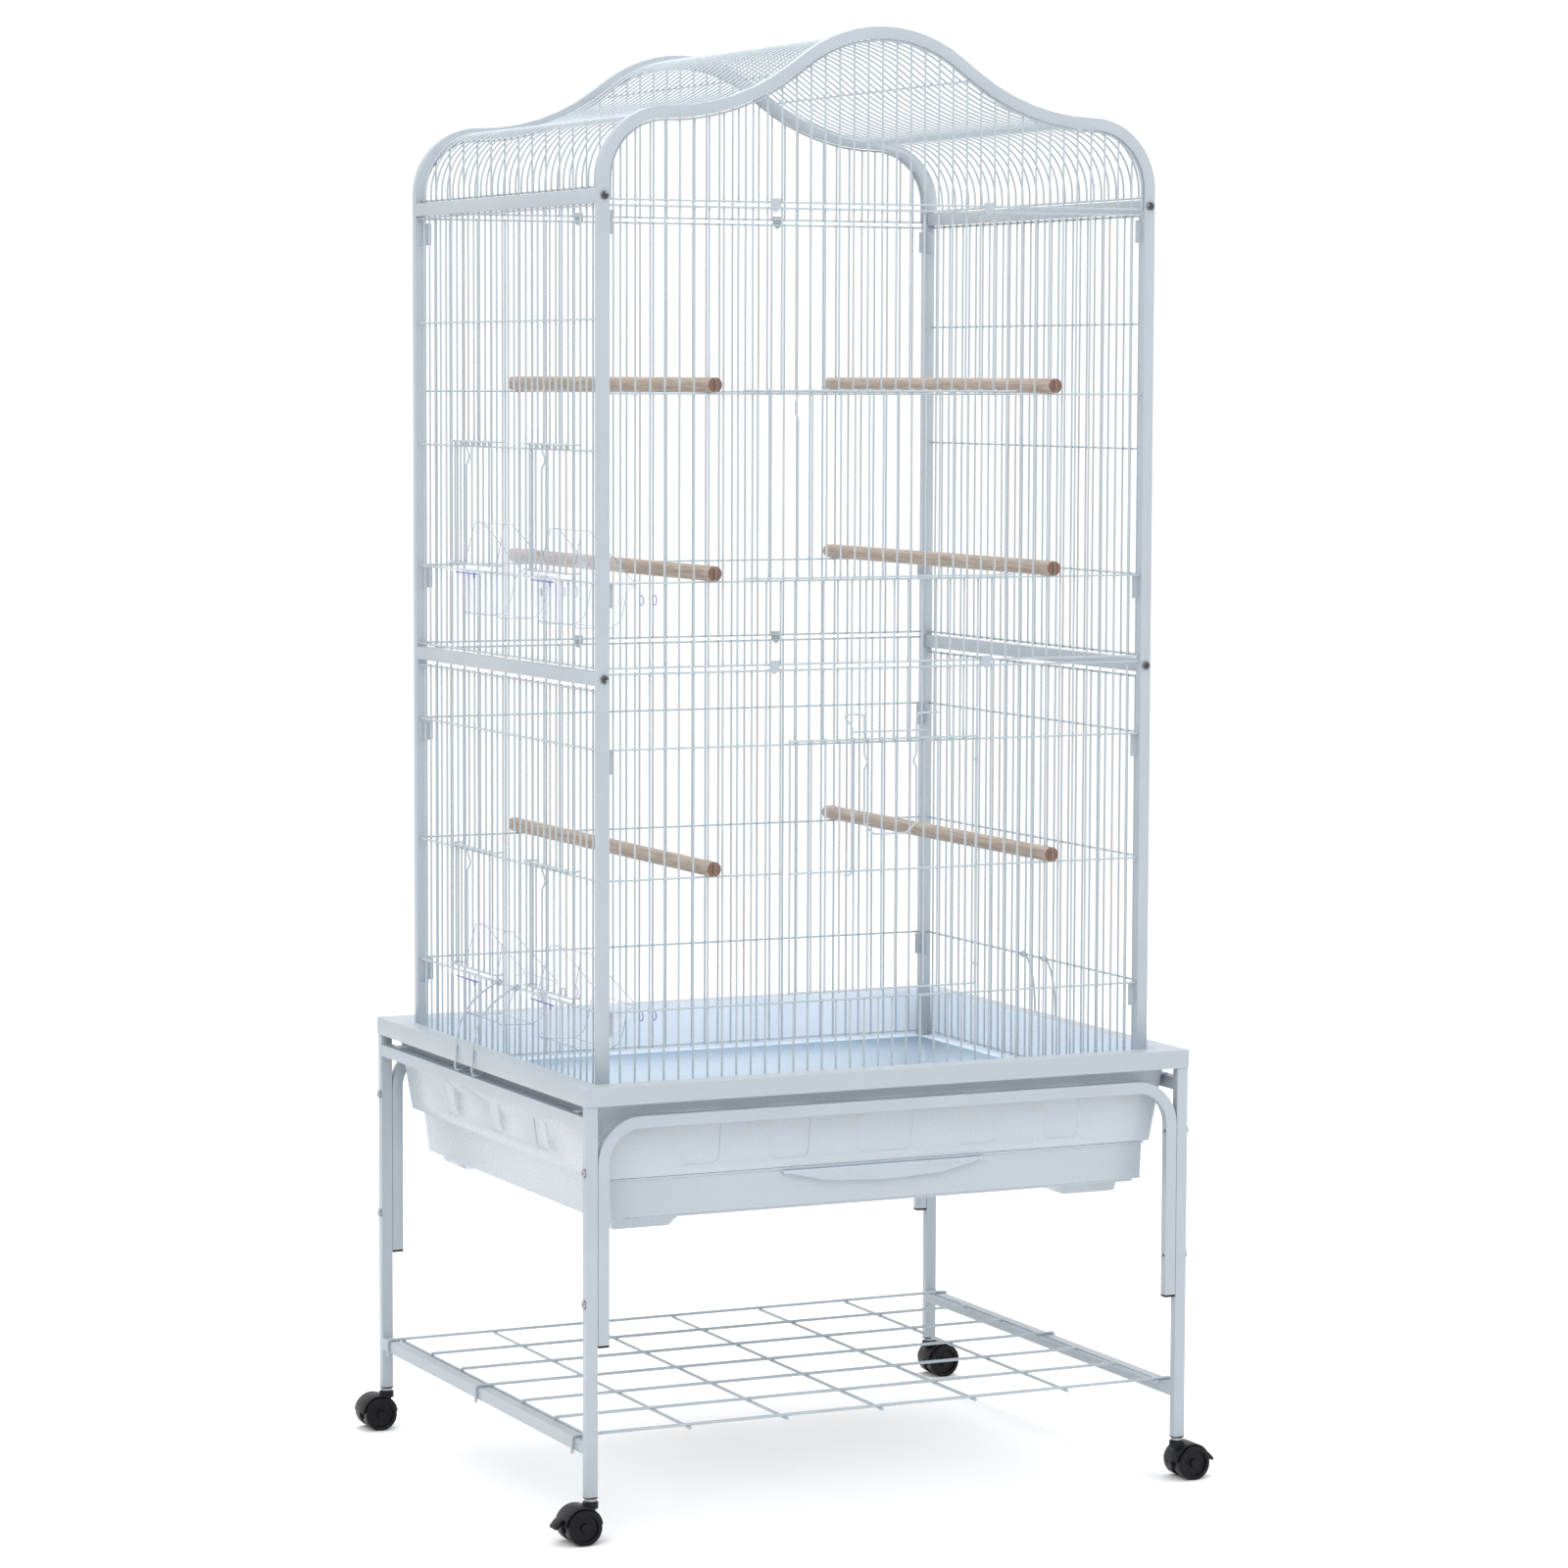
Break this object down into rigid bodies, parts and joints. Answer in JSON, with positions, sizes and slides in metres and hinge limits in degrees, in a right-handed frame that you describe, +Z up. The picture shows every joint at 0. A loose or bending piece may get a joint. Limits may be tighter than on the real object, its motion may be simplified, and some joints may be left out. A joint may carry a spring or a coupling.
{
  "type": "bird cage on stand",
  "caption": "Tall wire bird cage with an arched crown, front doors and side feeders, on a rolling stand with a wire shelf and a slide-out tray.",
  "frame": {"origin": "on the floor, under the middle of the cage", "axes": "+X to the right seen from the door side, +Y to the back, +Z up"},
  "size_m": [0.8012, 0.6512, 1.6044],
  "materials": {
    "steel_coat": "satin powder coat",
    "zinc": "zinc plated",
    "spring_wire": "satin coat over wire",
    "clear_plastic": "clear, polished",
    "wood": "turned, unfinished",
    "white_plastic": "satin moulded",
    "black_plastic": "fine textured",
    "wheel_plastic": "smooth nylon"
  },
  "bodies": {
    "cage": {"front_arch": "steel_coat", "back_arch": "steel_coat", "front_left_post": "steel_coat", "front_right_post": "steel_coat", "back_left_post": "steel_coat", "back_right_post": "steel_coat", "left_top_bar": "steel_coat", "right_top_bar": "steel_coat", "left_mid_bar": "steel_coat", "right_mid_bar": "steel_coat", "front_gable": "steel_coat", "back_gable": "steel_coat", "roof_panel": "steel_coat", "front_upper_panel": "steel_coat", "front_lower_panel": "steel_coat", "back_upper_panel": "steel_coat", "back_lower_panel": "steel_coat", "left_upper_panel": "steel_coat", "left_lower_panel": "steel_coat", "right_upper_panel": "steel_coat", "right_lower_panel": "steel_coat", "panel_clips": "steel_coat", "rim_frame": "steel_coat", "left_side_frame": "steel_coat", "right_side_frame": "steel_coat", "front_u_tube": "steel_coat", "back_u_tube": "steel_coat", "wire_shelf": "steel_coat", "frame_screws": "zinc", "joint_sleeves": "zinc", "caster_stems": "zinc", "upper_front_feeder": "clear_plastic", "upper_back_feeder": "clear_plastic", "lower_front_feeder": "clear_plastic", "lower_back_feeder": "clear_plastic", "top_perches": "wood", "middle_perches": "wood", "low_perches": "wood", "base_tub": "white_plastic", "tube_plugs": "black_plastic"},
    "upper_door": {"upper_door": "steel_coat"},
    "lower_door": {"lower_door": "steel_coat"},
    "door_latch": {"lower_door_latch": "spring_wire"},
    "upper_front_feeder_door": {"upper_front_feeder_door": "steel_coat"},
    "upper_back_feeder_door": {"upper_back_feeder_door": "steel_coat"},
    "lower_front_feeder_door": {"lower_front_feeder_door": "steel_coat"},
    "lower_back_feeder_door": {"lower_back_feeder_door": "steel_coat"},
    "tray": {"pull_out_tray": "white_plastic"},
    "left_hooks": {"left_rim_hooks": "spring_wire"},
    "right_hooks": {"right_rim_hooks": "spring_wire"},
    "front_left_caster": {"front_left_hood": "black_plastic"},
    "front_left_wheel_pair": {"front_left_wheels": "wheel_plastic"},
    "front_right_caster": {"front_right_hood": "black_plastic"},
    "front_right_wheel_pair": {"front_right_wheels": "wheel_plastic"},
    "back_left_caster": {"back_left_hood": "black_plastic"},
    "back_left_wheel_pair": {"back_left_wheels": "wheel_plastic"},
    "back_right_caster": {"back_right_hood": "black_plastic"},
    "back_right_wheel_pair": {"back_right_wheels": "wheel_plastic"},
    "front_left_lever": {"front_left_brake": "black_plastic"},
    "front_right_lever": {"front_right_brake": "black_plastic"}
  },
  "joints": [
    {"name": "upper_door_lift", "type": "slide", "parent": "cage", "child": "upper_door", "axis": [0, 0, 1], "range_m": [0, 0.19]},
    {"name": "lower_door_swing", "type": "hinge", "parent": "cage", "child": "lower_door", "pos_m": [0.115, -0.273, 0.7], "axis": [0, 0, 1], "range_deg": [0, 110]},
    {"name": "latch_slide", "type": "slide", "parent": "lower_door", "child": "door_latch", "axis": [0, 0, -1], "range_m": [0, 0.034]},
    {"name": "upper_front_feeder_lift", "type": "slide", "parent": "cage", "child": "upper_front_feeder_door", "axis": [0, 0, 1], "range_m": [0, 0.12]},
    {"name": "upper_back_feeder_lift", "type": "slide", "parent": "cage", "child": "upper_back_feeder_door", "axis": [0, 0, 1], "range_m": [0, 0.12]},
    {"name": "lower_front_feeder_lift", "type": "slide", "parent": "cage", "child": "lower_front_feeder_door", "axis": [0, 0, 1], "range_m": [0, 0.12]},
    {"name": "lower_back_feeder_lift", "type": "slide", "parent": "cage", "child": "lower_back_feeder_door", "axis": [0, 0, 1], "range_m": [0, 0.12]},
    {"name": "tray_slide", "type": "slide", "parent": "cage", "child": "tray", "axis": [0, -1, 0], "range_m": [0, 0.45]},
    {"name": "left_hooks_swing", "type": "hinge", "parent": "cage", "child": "left_hooks", "pos_m": [-0.3303, 0, 0.558], "axis": [0, 1, 0], "range_deg": [0, 20]},
    {"name": "right_hooks_swing", "type": "hinge", "parent": "cage", "child": "right_hooks", "pos_m": [0.3303, 0, 0.558], "axis": [0, -1, 0], "range_deg": [0, 60]},
    {"name": "front_left_swivel", "type": "hinge", "parent": "cage", "child": "front_left_caster", "pos_m": [-0.357, -0.3065, 0.04], "axis": [0, 0, 1], "continuous": true},
    {"name": "front_left_roll", "type": "hinge", "parent": "front_left_caster", "child": "front_left_wheel_pair", "pos_m": [-0.37, -0.3065, 0.019], "axis": [0, 1, 0], "continuous": true},
    {"name": "front_right_swivel", "type": "hinge", "parent": "cage", "child": "front_right_caster", "pos_m": [0.357, -0.3065, 0.04], "axis": [0, 0, 1], "continuous": true},
    {"name": "front_right_roll", "type": "hinge", "parent": "front_right_caster", "child": "front_right_wheel_pair", "pos_m": [0.37, -0.3065, 0.019], "axis": [0, 1, 0], "continuous": true},
    {"name": "back_left_swivel", "type": "hinge", "parent": "cage", "child": "back_left_caster", "pos_m": [-0.357, 0.3065, 0.04], "axis": [0, 0, 1], "continuous": true},
    {"name": "back_left_roll", "type": "hinge", "parent": "back_left_caster", "child": "back_left_wheel_pair", "pos_m": [-0.37, 0.3065, 0.019], "axis": [0, 1, 0], "continuous": true},
    {"name": "back_right_swivel", "type": "hinge", "parent": "cage", "child": "back_right_caster", "pos_m": [0.357, 0.3065, 0.04], "axis": [0, 0, 1], "continuous": true},
    {"name": "back_right_roll", "type": "hinge", "parent": "back_right_caster", "child": "back_right_wheel_pair", "pos_m": [0.37, 0.3065, 0.019], "axis": [0, 1, 0], "continuous": true},
    {"name": "front_left_brake_press", "type": "hinge", "parent": "front_left_caster", "child": "front_left_lever", "pos_m": [-0.37, -0.3065, 0.019], "axis": [0, -1, 0], "range_deg": [0, 15]},
    {"name": "front_right_brake_press", "type": "hinge", "parent": "front_right_caster", "child": "front_right_lever", "pos_m": [0.37, -0.3065, 0.019], "axis": [0, 1, 0], "range_deg": [0, 15]}
  ]
}
